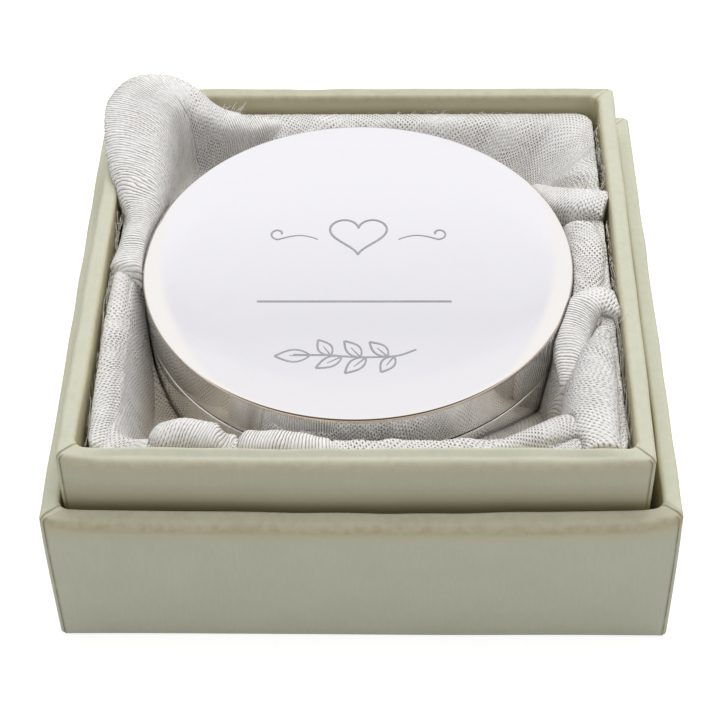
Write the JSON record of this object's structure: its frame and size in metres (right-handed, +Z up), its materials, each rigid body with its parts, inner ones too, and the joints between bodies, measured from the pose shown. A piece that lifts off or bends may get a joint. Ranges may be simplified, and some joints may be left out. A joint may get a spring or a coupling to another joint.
{
  "type": "trinket box",
  "caption": "Round polished metal keepsake box with a lift-off lid, lying in a gauze nest inside a square two-part paper-covered presentation box.",
  "frame": {"origin": "middle of the outer tray's flat underside", "axes": "+Z up, out of the trays; -Y is the side that faces the camera in the picture, +X to its right"},
  "size_m": [0.0754, 0.0754, 0.036],
  "materials": {
    "sage_paper": "smooth sage-cream wrapping paper with a faint sheen",
    "grey_board": "raw grey board",
    "kraft_tape": "gummed kraft paper tape",
    "white_card": "plain white card",
    "white_gauze": "open plain-weave white gauze",
    "silver_plate": "mirror-polished silver plate",
    "dark_velvet": "short-pile black velvet"
  },
  "bodies": {
    "outer_tray": {"outer_board": "grey_board", "outer_corner_tape_back_right": "kraft_tape", "outer_corner_tape_back_left": "kraft_tape", "outer_corner_tape_front_left": "kraft_tape", "outer_corner_tape_front_right": "kraft_tape", "outer_wrap": "sage_paper"},
    "inner_tray": {"inner_board": "grey_board", "inner_corner_tape_back_right": "kraft_tape", "inner_corner_tape_back_left": "kraft_tape", "inner_corner_tape_front_left": "kraft_tape", "inner_corner_tape_front_right": "kraft_tape", "inner_wrap": "sage_paper"},
    "nest": {"nest_frame": "white_card", "gauze_liner": "white_gauze"},
    "round_base": {"base_shell": "silver_plate", "neck_ring": "silver_plate", "base_pad_card": "white_card", "base_pad_velvet": "dark_velvet", "base_wall_lining": "dark_velvet"},
    "lid": {"lid_shell": "silver_plate", "lid_pad_card": "white_card", "lid_pad_velvet": "dark_velvet"}
  },
  "joints": [
    {"name": "inner_tray_lift", "type": "slide", "parent": "outer_tray", "child": "inner_tray", "axis": [0, 0, 1], "range_m": [0, 0.03]},
    {"name": "nest_lift", "type": "slide", "parent": "inner_tray", "child": "nest", "axis": [0, 0, 1], "range_m": [0, 0.035]},
    {"name": "round_box_lift", "type": "slide", "parent": "nest", "child": "round_base", "axis": [0, 0, 1], "range_m": [0, 0.04]},
    {"name": "lid_lift", "type": "slide", "parent": "round_base", "child": "lid", "axis": [0, 0, 1], "range_m": [0, 0.025]}
  ]
}
